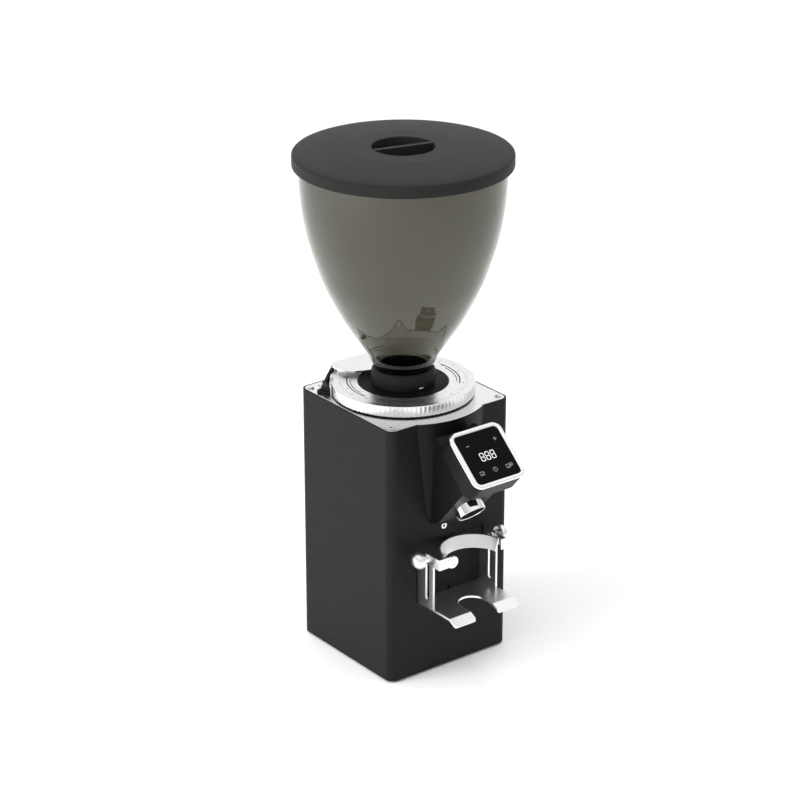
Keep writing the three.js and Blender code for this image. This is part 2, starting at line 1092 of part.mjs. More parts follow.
add("bearing_lower", tube(17, SHAFT_R + 0.08, 71.2, 81.4, 64, 0, AY), M.steel());
{
  let s = union(
    tube(12, SHAFT_R + 0.3, 57, 66, 32, 0, AY),
    tube(42, 10, 57, 58.6, 32, 0, AY),
  );
  for (let i = 0; i < 8; i++) {
    const g = new THREE.BoxGeometry(30, 2, 8);
    g.translate(26, 0, 62);
    g.rotateZ((i * Math.PI) / 4);
    g.translate(0, AY, 0);
    s = union(s, solid(g));
  }
  add("cooling_fan", s, M.blackPlastic());
}
add(
  "run_capacitor",
  turned(
    [
      [0, 8],
      [17, 8],
      [17.5, 9],
      [17.5, 84],
      [16.5, 85],
      [0, 85],
    ],
    28,
    60,
    -56,
  ),
  M.aluminium(),
);
add(
  "control_board",
  union(
    box(-81.6, -80, -48, 52, 60, 170),
    box(-80.1, -68, -30, -8, 70, 100),
    box(-80.1, -70, 4, 40, 72, 92),
    box(-80.1, -66, 10, 34, 110, 150),
  ),
  M.board(),
);

// ---------- adjustment dial ----------
{
  const s = turned(
    [
      [50.6, DIAL_Z0],
      [DIAL_R - 1, DIAL_Z0],
      [DIAL_R, DIAL_Z0 + 1],
      [DIAL_R, DIAL_Z1 - 0.8],
      [DIAL_R - 0.8, DIAL_Z1],
      [76, DIAL_Z1],
      [51.8, DIAL_Z1 - 1.2],
      [51.8, 315.4],
      [50.6, 315.4],
    ],
    90,
  );
  add("adjustment_dial", s, M.polished());
}
add(
  "dial_seal",
  tube(78.6, 70, PLATE_TOP + GAP, DIAL_Z0 - GAP, 64, 0, AY),
  M.rubber(),
);

// ---------- rear bridge over the dial, with its posts ----------
{
  const s = new THREE.Shape();
  const r = 14;
  s.moveTo(-47, 53);
  s.lineTo(-47, 83 - r);
  s.absarc(-47 + r, 83 - r, r, Math.PI, Math.PI / 2, true);
  s.lineTo(47 - r, 83);
  s.absarc(47 - r, 83 - r, r, Math.PI / 2, 0, true);
  s.lineTo(47, 53);
  const arcC = 105.6;
  const arcR = 70.6;
  const a0 = Math.atan2(53 - arcC, 47);
  s.absarc(0, arcC, arcR, a0, -Math.PI - a0, true);
  let b = extrudeZ(s, 328.4, 330.5, 10);
  b = cut(b, rod(37.4, 320, 340, 56, 0, AY));
  add("bridge_plate", b, M.polished());
}
for (const [label, k] of [
  ["left", -1],
  ["right", 1],
])
  add(
    "bridge_post_" + label,
    rod(3.5, PLATE_TOP + GAP, 328.1, 16, k * 41.5, 77.5),
    M.steel(),
  );

// ---------- dial stop: bracket with an upright index arm, and its screw ----------
{
  const base = extrudeZ(
    shapeOf([
      [-80.5, 56],
      [-72, 42.8],
      [-64.4, 53.7],
      [-60.8, 61],
      [-66, 69],
      [-74, 66],
    ]),
    PLATE_TOP + GAP,
    313.6,
  );
  const block = extrudeZ(
    shapeOf([
      [-75, 53],
      [-71.8, 45.4],
      [-64.6, 54.6],
      [-61.4, 61],
      [-66.5, 66],
    ]),
    313,
    319.5,
  );
  const arm = extrudeY(
    shapeOf([
      [-67, 314],
      [-60.6, 314],
      [-59.6, 322],
      [-58.7, 326.4],
      [-53.6, 329.6],
      [-54.2, 333.6],
      [-58.6, 328.8],
      [-63.8, 321],
    ]),
    60.4,
    65,
  );
  let s = union(base, block, arm);
  s = cut(s, rod(2.2, 300, 316, 12, -75.3, 60.2));
  add("dial_stop_bracket", s, M.blackPaint());
}
add(
  "dial_stop_screw",
  turned(
    [
      [0, 311.2],
      [1.9, 311.2],
      [1.9, 313.9],
      [3.7, 313.9],
      [4, 314.4],
      [4, 317],
      [3.4, 317.8],
      [1.7, 317.8],
      [1.7, 316.2],
      [0, 316.2],
    ],
    18,
    -75.3,
    60.2,
  ),
  M.chrome(),
);

// ---------- hopper ----------
add(
  "hopper_collar",
  turned(
    [
      [31.2, 326.6],
      [33.6, 326.6],
      [33.6, DISC_Z + GAP],
      [35.2, DISC_Z + GAP],
      [36.3, 327.5],
      [36.9, 331.5],
      [36.7, 335.5],
      [35.6, 339.6],
      [33.8, COLLAR_Z1],
      [31.2, COLLAR_Z1],
    ],
    56,
  ),
  M.rubber(),
);
{
  const t = 2.2;
  const outer = [
    [30.6, 343.0],
    [33.0, 344.6],
    [36.7, 350.5],
    [40.0, 359],
    [51.5, 376],
    [67.8, 401.5],
    [81.3, 427],
    [95.5, 461],
    [105.8, 495],
    [112.2, 529],
    [115.0, 563],
    [115.2, HOPPER_TOP],
  ];
  const inner = [
    [115.2 - t, HOPPER_TOP],
    [112.2 - t, 529],
    [105.8 - t * 1.04, 495],
    [95.5 - t * 1.08, 461],
    [81.3 - t * 1.15, 427.6],
    [67.8 - t * 1.2, 402.4],
    [51.5 - t * 1.22, 377],
    [40.0 - t * 1.18, 360],
    [36.7 - t * 1.35, 352.2],
    [28.4, 341],
    [28.4, 327],
  ];
  add(
    "hopper",
    turned([[30.6, 327], ...outer, ...inner], 48),
    M.smoked(),
  );
}
{
  const seg = 64;
  let s = turned(
    [
      [0, 589.5],
      [34.6, 589.5],
      [35.3, 600.3],
      [59, 600.1],
      [80, 598.8],
      [102, 596.9],
      [117.5, 595],
      [121.4, 593.9],
      [LID_R, 592],
      [LID_R, LID_Z0 + 0.8],
      [LID_R - 0.8, LID_Z0],
      [118.2, LID_Z0],
      [116.4, LID_Z0 + 2],
      [116.4, HOPPER_TOP + 0.4],
      [38, 594.6],
      [38, 587],
      [0, 587],
    ],
    seg,
  );
  const g = new THREE.BoxGeometry(69.8, 5.6, 12.2);
  g.translate(0, 0, 594.2);
  g.rotateZ(THREE.MathUtils.degToRad(-13.7));
  g.translate(0, AY, 0);
  s = union(s, solid(g));
  add("hopper_lid", s, M.lidPlastic());
}

// ---------- origin on the floor under the middle of the whole object ----------
const overall = new THREE.Box3().setFromObject(model);
const middleY = (overall.min.y + overall.max.y) / 2;
for (const mesh of model.children) mesh.geometry.translate(0, -middleY, 0);

export default model;
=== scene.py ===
import math

import bpy
import bmesh
from mathutils import Matrix, Vector


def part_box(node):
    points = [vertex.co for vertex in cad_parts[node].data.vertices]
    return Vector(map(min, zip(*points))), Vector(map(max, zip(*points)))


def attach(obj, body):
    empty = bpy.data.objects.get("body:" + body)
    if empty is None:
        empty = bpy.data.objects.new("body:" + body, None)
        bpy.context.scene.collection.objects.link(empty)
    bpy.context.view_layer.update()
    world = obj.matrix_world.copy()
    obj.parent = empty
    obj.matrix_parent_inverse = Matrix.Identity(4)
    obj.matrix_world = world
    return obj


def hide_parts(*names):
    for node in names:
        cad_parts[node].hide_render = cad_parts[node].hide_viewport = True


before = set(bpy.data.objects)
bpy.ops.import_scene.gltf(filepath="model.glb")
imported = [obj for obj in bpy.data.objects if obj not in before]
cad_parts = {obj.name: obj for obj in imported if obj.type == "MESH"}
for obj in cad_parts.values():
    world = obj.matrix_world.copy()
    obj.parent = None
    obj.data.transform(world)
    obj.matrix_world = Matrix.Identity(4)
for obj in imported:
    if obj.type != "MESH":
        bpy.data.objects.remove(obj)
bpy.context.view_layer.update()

_a, _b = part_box("body_shell")
OFF = (_a.y + _b.y) / 2 * 1000  # mm, middle of the casework in the row frame
AY = 1.7  # mm, grinding axis, measured from the middle of the casework


def P(x, y, z):
    """Millimetres from the middle of the casework to metres in the row frame."""
    return Vector((x / 1000, (y + OFF) / 1000, z / 1000))


# ------------------------------------------------------------------ materials
def material(name, color, rough, metal=0.0, vary=0.0, bump=0.0, scale=400.0,
             rough_vary=0.04, stretch=None, coat=0.0, emission=None, ior=None,
             transmission=0.0, rings=False, spec=None):
    m = bpy.data.materials.new(name)
    m.use_nodes = True
    nt = m.node_tree
    bs = nt.nodes["Principled BSDF"]
    bs.inputs["Metallic"].default_value = metal
    bs.inputs["Base Color"].default_value = (*color, 1)
    if spec is not None:
        bs.inputs["Specular IOR Level"].default_value = spec
    if coat:
        bs.inputs["Coat Weight"].default_value = coat
        bs.inputs["Coat Roughness"].default_value = 0.05
    if ior:
        bs.inputs["IOR"].default_value = ior
    if transmission:
        bs.inputs["Transmission Weight"].default_value = transmission
    if emission:
        bs.inputs["Emission Color"].default_value = (*emission[0], 1)
        bs.inputs["Emission Strength"].default_value = emission[1]
    tc = nt.nodes.new("ShaderNodeTexCoord")
    mp = nt.nodes.new("ShaderNodeMapping")
    mp.inputs["Scale"].default_value = stretch or (1, 1, 1)
    nt.links.new(tc.outputs["Object"], mp.inputs["Vector"])
    if rings:
        mp.inputs["Location"].default_value = (0, -(AY + OFF) / 1000, 0)
        tex = nt.nodes.new("ShaderNodeTexWave")
        tex.wave_type = "RINGS"
        tex.rings_direction = "Z"
        tex.inputs["Scale"].default_value = scale
        tex.inputs["Distortion"].default_value = 0.4
        tex.inputs["Detail"].default_value = 2
        out = tex.outputs["Fac"]
    else:
        tex = nt.nodes.new("ShaderNodeTexNoise")
        tex.inputs["Scale"].default_value = scale
        tex.inputs["Detail"].default_value = 3
        out = tex.outputs["Fac"]
    nt.links.new(mp.outputs["Vector"], tex.inputs["Vector"])
    rr = nt.nodes.new("ShaderNodeMapRange")
    rr.inputs["To Min"].default_value = max(0.02, rough - rough_vary)
    rr.inputs["To Max"].default_value = rough + rough_vary
    nt.links.new(out, rr.inputs["Value"])
    nt.links.new(rr.outputs["Result"], bs.inputs["Roughness"])
    if vary:
        big = nt.nodes.new("ShaderNodeTexNoise")
        big.inputs["Scale"].default_value = 35
        big.inputs["Detail"].default_value = 4
        nt.links.new(tc.outputs["Object"], big.inputs["Vector"])
        ramp = nt.nodes.new("ShaderNodeMix")
        ramp.data_type = "RGBA"
        ramp.inputs["A"].default_value = (*[c * (1 - vary) for c in color], 1)
        ramp.inputs["B"].default_value = (*[min(1, c * (1 + vary)) for c in color], 1)
        nt.links.new(big.outputs["Fac"], ramp.inputs["Factor"])
        nt.links.new(ramp.outputs["Result"], bs.inputs["Base Color"])
    if bump:
        bp = nt.nodes.new("ShaderNodeBump")
        bp.inputs["Strength"].default_value = bump
        bp.inputs["Distance"].default_value = 0.0002
        nt.links.new(out, bp.inputs["Height"])
        nt.links.new(bp.outputs["Normal"], bs.inputs["Normal"])
    return m


COAT = material("powder_coat", (0.0125, 0.0125, 0.012), 0.5, vary=0.12, bump=0.12, scale=1400, spec=0.115)
CASE = material("moulded_black", (0.0075, 0.0075, 0.0072), 0.36, vary=0.1, bump=0.06, scale=1800, spec=0.13)
LID = material("lid_grain", (0.016, 0.016, 0.0155), 0.55, vary=0.12, bump=0.2, scale=1300, spec=0.17)
DARK = material("burr_black", (0.005, 0.005, 0.005), 0.5, vary=0.1, bump=0.08, scale=1200, spec=0.07)
# black rubber for the feet and collar; also the painted shade of the ring in the gap under the dial
RUBBER_AND_GAP_SHADE = material("rubber_black_and_gap_shade", (0.013, 0.013, 0.013), 0.6, vary=0.1, bump=0.1, scale=900, spec=0.15)
STEEL = material("polished_steel", (0.93, 0.93, 0.92), 0.31, 1, vary=0.02, bump=0.02,
                 scale=500, stretch=(1, 1, 12), rough_vary=0.02)
PLATE = material("plate_steel", (0.86, 0.86, 0.86), 0.24, 1, vary=0.03, bump=0.02,
                 scale=350, stretch=(1, 14, 1))
TURNED = material("turned_steel", (0.9, 0.9, 0.9), 0.3, 1, bump=0.05, scale=420,
                  rings=True, rough_vary=0.05)
CHROME = material("bright_chrome", (0.92, 0.92, 0.92), 0.05, 1, bump=0.01, scale=300,
                  rough_vary=0.02)
BRUSHED = material("brushed_steel", (0.5, 0.5, 0.5), 0.3, 1, vary=0.05, bump=0.03,
                   scale=600, stretch=(8, 1, 1))
ALU = material("machined_alu", (0.6, 0.6, 0.61), 0.35, 1, vary=0.05, bump=0.03, scale=700)
COPPER = material("winding_copper", (0.5, 0.2, 0.08), 0.45, 0.8, vary=0.2, bump=0.3,
                  scale=700)
BOARD = material("board_green", (0.015, 0.1, 0.04), 0.5, vary=0.2, bump=0.1, scale=500)
GLOSS = material("touch_glass", (0.004, 0.004, 0.004), 0.08, spec=0.04, bump=0.0, scale=60,
                 rough_vary=0.02)
INK = material("engraved_dark", (0.012, 0.012, 0.012), 0.6, vary=0.1, bump=0.05, scale=900)
GREYINK = material("engraved_grey", (0.16, 0.16, 0.16), 0.5, vary=0.1, bump=0.05, scale=900)
GLOW = material("display_light", (0.8, 0.8, 0.8), 0.5, emission=((0.9, 0.92, 0.95), 0.32),
                scale=200)
DIM = material("icon_light", (0.2, 0.2, 0.2), 0.5, emission=((0.8, 0.82, 0.85), 0.12),
               scale=200)
WHITE = material("marker_white", (0.6, 0.6, 0.58), 0.4, vary=0.05, scale=500)
SMOKE = material("smoked_hopper", (0.245, 0.239, 0.198), 0.025, ior=1.46, transmission=1.0,
                 scale=25, rough_vary=0.02)


# ------------------------------------------------------------------ mesh helpers
def finish_mesh(me, mat, angle=32):
    me.materials.clear()
    me.materials.append(mat)
    for p in me.polygons:
        p.use_smooth = True
    me.set_sharp_from_angle(angle=math.radians(angle))


def make(name, verts, faces, mat, M=None, angle=32, raw=False):
    """Mesh object from millimetre points, or from row-frame points when raw."""
    me = bpy.data.meshes.new(name)
    pts = [Vector(v) for v in verts]
    if M is not None:
        pts = [M @ v for v in pts]
    pts = [tuple(v) if raw else tuple(P(*v)) for v in pts]
    me.from_pydata(pts, [], faces)
    bm = bmesh.new()
    bm.from_mesh(me)
    bmesh.ops.remove_doubles(bm, verts=bm.verts, dist=1e-7)
    bmesh.ops.recalc_face_normals(bm, faces=bm.faces)
    bm.to_mesh(me)
    bm.free()
    finish_mesh(me, mat, angle)
    o = bpy.data.objects.new(name, me)
    bpy.context.scene.collection.objects.link(o)
    return o


def lathe(name, prof, mat, o=(0, AY, 0), d=(0, 0, 1), seg=128, radius=None, angle=32,
          a0=0.0, a1=2 * math.pi):
    """Turned piece: closed profile of (radius, height). radius(i, r) may vary it by facet."""
    d = Vector(d).normalized()
    q = Vector((0, 0, 1)).rotation_difference(d)
    o = Vector(o)
    full = abs(a1 - a0 - 2 * math.pi) < 1e-6
    cols = seg if full else seg + 1
    verts, faces = [], []
    for i in range(cols):
        t = a0 + (a1 - a0) * i / seg
        for r, z in prof:
            rr = radius(i, r, z) if radius else r
            verts.append(o + q @ Vector((rr * math.cos(t), rr * math.sin(t), z)))
    n = len(prof)
    closed = not (prof[0][0] == 0 and prof[-1][0] == 0)
    for i in range(seg):
        j = (i + 1) % cols
        for k in range(n if closed else n - 1):
            l = (k + 1) % n
            quad = [i * n + k, j * n + k, j * n + l, i * n + l]
            if prof[k][0] == 0 and prof[l][0] == 0:
                continue
            if prof[k][0] == 0:
                quad = [i * n + k, j * n + l, i * n + l]
            elif prof[l][0] == 0:
                quad = [i * n + k, j * n + k, i * n + l]
            faces.append(quad)
    if not full:
        faces.append([k for k in range(n)])
        faces.append([seg * n + k for k in range(n)][::-1])
    return make(name, verts, faces, mat, angle=angle)


def prism(name, poly, z0, z1, mat, M=None, angle=32):
    n = len(poly)
    verts = [(x, y, z0) for x, y in poly] + [(x, y, z1) for x, y in poly]
    faces = [list(range(n))[::-1], list(range(n, 2 * n))]
    faces += [[i, (i + 1) % n, n + (i + 1) % n, n + i] for i in range(n)]
    return make(name, verts, faces, mat, M=M, angle=angle)


def rrect(hw, hh, r, cx=0, cy=0, n=10):
    out = []
    for sx, sy, a in ((1, -1, -90), (1, 1, 0), (-1, 1, 90), (-1, -1, 180)):
        for i in range(n + 1):
            t = math.radians(a + 90 * i / n)
            out.append((cx + sx * (hw - r) + r * math.cos(t), cy + sy * (hh - r) + r * math.sin(t)))
    return out


def arc(cx, cy, r, a0, a1, n=12):
    return [(cx + r * math.cos(math.radians(a0 + (a1 - a0) * i / n)),
             cy + r * math.sin(math.radians(a0 + (a1 - a0) * i / n))) for i in range(n + 1)]


# shapes drawn in (x, z) run along y; shapes drawn in (y, z) run along x
MY = Matrix(((1, 0, 0, 0), (0, 0, 1, 0), (0, 1, 0, 0), (0, 0, 0, 1)))
MX = Matrix(((0, 0, 1, 0), (1, 0, 0, 0), (0, 1, 0, 0), (0, 0, 0, 1)))


def freeze(o):
    dg = bpy.context.evaluated_depsgraph_get()
    me = bpy.data.meshes.new_from_object(o.evaluated_get(dg))
    mats = [m for m in o.data.materials]
    o.modifiers.clear()
    o.data = me
    if not me.materials:
        for m in mats:
            me.materials.append(m)
    return o


def boolean(o, cutter, op="DIFFERENCE"):
    m = o.modifiers.new("b", "BOOLEAN")
    m.object = cutter
    m.operation = op
    m.solver = "EXACT"
    bpy.context.view_layer.update()
    freeze(o)
    bpy.data.objects.remove(cutter)
    me = o.data
    bm = bmesh.new()
    bm.from_mesh(me)
    bmesh.ops.remove_doubles(bm, verts=bm.verts, dist=2e-6)
    bmesh.ops.dissolve_limit(bm, angle_limit=math.radians(0.3), verts=bm.verts, edges=bm.edges)
    bm.to_mesh(me)
    bm.free()
    finish_mesh(me, me.materials[0] if me.materials else None)
    return o


def bevel(o, w, seg=2, angle=35):
    m = o.modifiers.new("bevel", "BEVEL")
    m.width = w / 1000
    m.segments = seg
    m.limit_method = "ANGLE"
    m.angle_limit = math.radians(angle)
    m.use_clamp_overlap = True
    w2 = o.modifiers.new("wn", "WEIGHTED_NORMAL")
    w2.keep_sharp = True
    return o


def put(o, body, nodes=()):
    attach(o, body)
    if nodes:
        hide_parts(*nodes)
    return o


# ------------------------------------------------------------------ CAD nodes kept as they are
def keep(names, mat, w=0.25, seg=2):
    for n in names:
        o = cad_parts[n]
        o.data.materials.clear()
        o.data.materials.append(mat)
        for p in o.data.polygons:
            p.use_smooth = True
        wd = o.modifiers.new("weld", "WELD")
        wd.merge_threshold = 2e-6
        de = o.modifiers.new("flat", "DECIMATE")
        de.decimate_type = "DISSOLVE"
        de.angle_limit = math.radians(0.4)
        b = o.modifiers.new("bevel", "BEVEL")
        b.width = w / 1000
        b.segments = seg
        b.limit_method = "ANGLE"
        b.angle_limit = math.radians(40)
        o.modifiers.new("wn", "WEIGHTED_NORMAL")


keep(["base_plate", "rear_cover", "recess_plate"], COAT)
keep(["foot_front_left", "foot_front_right", "foot_rear_left", "foot_rear_right"], RUBBER_AND_GAP_SHADE, 0.3)
keep(["power_inlet", "switch_frame", "power_rocker", "microswitch", "grounds_duct",
      "cooling_fan"], CASE, 0.3)
keep(["upper_burr", "lower_burr", "motor_shaft", "motor_rotor", "motor_stator",
      "bearing_upper", "bearing_lower", "hook_bolt_left", "hook_bolt_right", "push_rod"],
     BRUSHED, 0.2)
keep(["grinding_chamber", "rotor_carrier", "motor_bell_upper", "motor_bell_lower",
      "run_capacitor"], ALU, 0.3)
keep(["motor_winding"], COPPER, 0.5)
keep(["display_board", "control_board"], BOARD, 0.2)

# ------------------------------------------------------------------ casework
W2, D2, ZT, WALL = 85.0, 84.7, 310.5, 1.8
o = prism("case_shell", rrect(W2, D2, 10.2, n=16), 2.0, ZT, COAT)
boolean(o, prism("c", rrect(W2 - WALL, D2 - WALL, 8.4, n=16), 0, ZT + 2, COAT))
boolean(o, prism("c", [(-45.6, 307.3), (45.6, 307.3), (45.6, 312), (-45.6, 312)], -D2 - 1, -D2 + WALL + 1, COAT, M=MY))
boolean(o, prism("c", rrect(48.3, 35.9, 2, 0, 128.1, n=4), -D2 - 1, -D2 + WALL + 1, COAT, M=MY))
boolean(o, lathe("c", [(0, 0), (16.4, 0), (16.4, 8), (0, 8)], COAT, (0, -D2 - 3, 253.5), (0, 1, 0), 32))
boolean(o, lathe("c", [(0, 0), (2.7, 0), (2.7, 8), (0, 8)], COAT, (-9.4, -D2 - 3, 178.3), (0, 1, 0), 24))
boolean(o, prism("c", rrect(60, 122, 4, 0, 152, n=6), D2 - 6, D2 + 2, COAT, M=MY))
put(bevel(o, 0.5), "case", ["body_shell"])

# top plate with its bulge
BY, BR = -4.4, 92.1
hw = 84.7 - WALL - 0.3
pts = []
rr = 8.1
hx = 85 - WALL - 0.3
poly = []
for sx, sy, a in ((1, 1, 0), (-1, 1, 90)):
    poly += arc(sx * (hx - rr), sy * (hw - rr), rr, a, a + 90, 10)
poly += arc(-(hx - rr), -(hw - rr), rr, 180, 270, 10)
a_meet = math.degrees(math.acos(45.3 / BR))
poly += [(-45.3, -hw)]
poly += arc(0, BY, BR, 180 + a_meet, 360 - a_meet, 40)
poly += [(45.3, -hw)]
poly += arc(hx - rr, -(hw - rr), rr, 270, 360, 10)
o = prism("plate_polished", poly, 307.6, 310.6, PLATE)
boolean(o, lathe("c", [(0, 300), (54.8, 300), (54.8, 320), (0, 320)], PLATE, seg=96))
put(bevel(o, 0.5, 3), "case", ["top_plate"])

for nm, x, y in (("front_left", -76.5, -74), ("front_right", 76.5, -74),
                 ("rear_left", -76.5, 74), ("rear_right", 76.5, 74)):
    o = lathe("screw_" + nm, [(0, 306), (2, 306), (2, 310.9), (3.8, 310.9), (3.75, 311.8),
                              (3.3, 312.3), (2.4, 312.7), (1.3, 312.8), (1.2, 312.2), (0, 312.2)],
              STEEL, (x, y, 0), seg=36)
    put(bevel(o, 0.12), "case", ["plate_screw_" + nm])

# ------------------------------------------------------------------ fairing, neck and head
z1 = 307.3
cone = lathe("fairing_front", [(0, 165), (85.5, 165), (93.8, 308.5), (93.8, 310.2), (93.6, ZT), (92.4, ZT), (92.4, z1), (0, z1)], CASE, (0, BY, 0),
             seg=360)
outline = [(-60, 320), (-60, 240), (-35.6, 201)]
foot = [(-33.3, 195.5), (-29.4, 189.9), (-23.5, 185.9), (-15.5, 183.5), (-7, 182.85), (0, 182.8)]
# split each edge of the rounded foot of the tongue into three
fine = []
for i in range(len(foot) - 1):
    (xa, za), (xb, zb) = foot[i], foot[i + 1]
    for k in range(3):
        fine.append((xa + (xb - xa) * k / 3, za + (zb - za) * k / 3))
fine.append(foot[-1])
outline += fine
outline += [(-x, z) for x, z in outline[::-1][1:]]
boolean(cone, prism("c", outline, -120, -85, CASE, M=MY), "INTERSECT")
neck = prism("c", [(-85, 295.5), (-95.8, 295.5), (-96.5, 293.9), (-148.7, 248.7),
                   (-99.5, 191.9), (-85, 186)], -28.9, 28.9, CASE, M=MX)
boolean(cone, neck, "UNION")
CD = Vector((0, math.sin(math.radians(44)), math.cos(math.radians(44))))
MOUTH = Vector((0, -123.8, 203.9))
boolean(cone, lathe("c", [(0, -6), (17.1, -6), (17.1, 62), (0, 62)], CASE, MOUTH, CD, 64))
boolean(cone, lathe("c", [(0, -2), (16, -2), (16, 16), (0, 16)], CASE, (0, -84, 253.5), (0, -1, 0), 48))
put(bevel(cone, 0.8, 3, 20), "case", ["front_fairing"])

T = math.radians(49.1)
HC = Vector((0, -149.8, 285.2))
HM = Matrix(((1, 0, 0, HC.x), (0, math.sin(T), -math.cos(T), HC.y),
             (0, math.cos(T), math.sin(T), HC.z), (0, 0, 0, 1)))
o = prism("head_shell", rrect(35.9, 35.4, 10.7, n=14), -28, -3.3, CASE, M=HM)
boolean(o, prism("c", rrect(33.6, 33.1, 8.4, n=10), -25.6, 0, CASE, M=HM))
put(bevel(o, 1.2, 4), "case", ["head_housing"])

# bezel: swept frame with a rounded section
def loop_sweep(name, loops, mat):
    n = len(loops[0])
    verts = [v for l in loops for v in l]
    faces = []
    m = len(loops)
    for i in range(m):
        j = (i + 1) % m
        for k in range(n):
            l = (k + 1) % n
            faces.append([i * n + k, i * n + l, j * n + l, j * n + k])
    return make(name, verts, faces, mat)


def ring(hw_, hh_, r, z, n=12):
    return [HM @ Vector((x, y, z)) for x, y in rrect(hw_, hh_, r, n=n)]


o = loop_sweep("bezel_frame", [
    ring(30.2, 30.2, 5.0, -3), ring(36.2, 35.7, 11, -3), ring(36.2, 35.7, 11, -1.9),
    ring(36.05, 35.55, 10.85, -1.2), ring(35.6, 35.1, 10.4, -0.6), ring(35.0, 34.5, 9.8, -0.2),
    ring(34.2, 33.7, 9.0, 0.0), ring(33.2, 32.9, 8.0, 0.0), ring(32.2, 32.0, 7.0, -0.12),
    ring(31.3, 31.2, 6.1, -0.4), ring(30.7, 30.7, 5.5, -0.8), ring(30.35, 30.35, 5.15, -1.4)], CHROME)
put(o, "case", ["display_bezel"])

o = prism("touch_panel", rrect(30.0, 30.0, 4.8, n=10), -3, -0.45, GLOSS, M=HM)
panel = put(bevel(o, 0.3, 3), "case", ["display_glass"])


def flat(name, polys, mat, body="case", z=-0.45, h=0.12, M=HM):
    verts, faces = [], []
    for poly_ in polys:
        b = len(verts)
        n = len(poly_)
        verts += [(x, y, z) for x, y in poly_] + [(x, y, z + h) for x, y in poly_]
        faces += [[b + i for i in range(n)][::-1], [b + n + i for i in range(n)]]
        faces += [[b + i, b + (i + 1) % n, b + n + (i + 1) % n, b + n + i] for i in range(n)]
    o_ = make(name, verts, faces, mat, M=M)
    return put(o_, body, ())


def seg7(cx, cy, w, h, t, on="abcdefg"):
    s = []
    hw_, hh_ = w / 2, h / 2
    def hbar(y):
        return [(cx - hw_ + t * .6, y), (cx - hw_ + t * 1.1, y + t / 2), (cx + hw_ - t * 1.1, y + t / 2),
                (cx + hw_ - t * .6, y), (cx + hw_ - t * 1.1, y - t / 2), (cx - hw_ + t * 1.1, y - t / 2)]
    def vbar(x, ya, yb):
        return [(x, ya + t * .15), (x + t / 2, ya + t * .6), (x + t / 2, yb - t * .6), (x, yb - t * .15),
                (x - t / 2, yb - t * .6), (x - t / 2, ya + t * .6)]
    s.append(hbar(cy + hh_)); s.append(hbar(cy)); s.append(hbar(cy - hh_))
    for x in (cx - hw_ + t * .3, cx + hw_ - t * .3):
        s.append(vbar(x, cy, cy + hh_)); s.append(vbar(x, cy - hh_, cy))
    return s


def stroke(pts_, t):
    """A thin flat line through the points, as quads."""
    out = []
    for (xa, ya), (xb, yb) in zip(pts_, pts_[1:]):
        d = Vector((xb - xa, yb - ya))
        if d.length == 0:
            continue
        n_ = Vector((-d.y, d.x)).normalized() * t / 2
        e = d.normalized() * t * 0.25
        out.append([(xa - e.x + n_.x, ya - e.y + n_.y), (xa - e.x - n_.x, ya - e.y - n_.y),
                    (xb + e.x - n_.x, yb + e.y - n_.y), (xb + e.x + n_.x, yb + e.y + n_.y)])
    return out


digits = []
for k in (-1, 0, 1):
    digits += seg7(-0.3 + k * 7.4, -0.7, 5.3, 9.5, 0.85)
flat("digits", digits, GLOW)
icons = []
# minus and plus
icons += stroke([(-20.4, 16.1), (-16.6, 16.1)], 0.8)
icons += stroke([(17.6, 15.9), (21.8, 15.9)], 0.8) + stroke([(19.7, 13.8), (19.7, 18.0)], 0.8)


def cup(cx, cy, s=1.0):
    body_ = [(-2.6, 1.6), (-2.1, -1.5), (1.6, -1.5), (2.1, 1.6)]
    out = stroke([(cx + x * s, cy + y * s) for x, y in body_] + [(cx - 2.6 * s, cy + 1.6 * s)], 0.55)
    out += stroke([(cx + 2.1 * s, cy + 1.0 * s), (cx + 3.3 * s, cy + 0.9 * s), (cx + 3.1 * s, cy - 0.4 * s),
                   (cx + 1.9 * s, cy - 0.6 * s)], 0.45)
    out += stroke([(cx - 3.2 * s, cy - 2.5 * s), (cx + 2.8 * s, cy - 2.5 * s)], 0.55)
    return out


icons += cup(-18.9, -18.3)
icons += cup(17.4, -18.8) + cup(22.0, -17.8, 0.7)
icons += stroke(arc(-0.2, -18.4, 2.6, 60, 400, 16), 0.6) + stroke([(-0.2, -15.6), (-0.2, -18.6)], 0.6)
flat("icons", icons, DIM)

# dosing chute
o = lathe("chute_tube", [(15.2, 38), (15.2, 0.9), (15.5, 0.25), (15.9, 0), (16.3, 0.05),
                         (16.65, 0.35), (16.8, 0.9), (16.8, 38)], CHROME, MOUTH, CD, 96)
put(o, "case", ["dosing_chute"])

o = lathe("chute_liner", [(14.7, 37.8), (14.7, 0.9), (15.0, 0.7), (15.15, 1.0), (15.15, 37.8)], INK, MOUTH, CD, 96)
put(o, "case", ())
o = lathe("chute_flap", [(0, 24.0), (14.5, 24.0), (14.5, 25.0), (0, 25.0)], INK, MOUTH, CD, 64)
put(bevel(o, 0.3), "case", ())

# small round light in the front face
o = lathe("light_ring", [(0, 0.9), (1.5, 0.9), (1.7, 0.1), (2.0, 0), (3.3, 0), (3.7, 0.25), (3.8, 0.7),
                         (3.8, 1.2), (2.3, 1.2), (2.3, 7), (0, 7)], STEEL,
          (-9.4, -D2 - 1.5, 178.3), (0, 1, 0), 48)
put(o, "case", ["work_light_ring"])
o = lathe("light_lens", [(0, 0.55), (0.8, 0.6), (1.45, 0.8), (1.45, 0.88), (0, 0.88)], INK,
          (-9.4, -D2 - 1.5, 178.3), (0, 1, 0), 32)
put(o, "case", ())

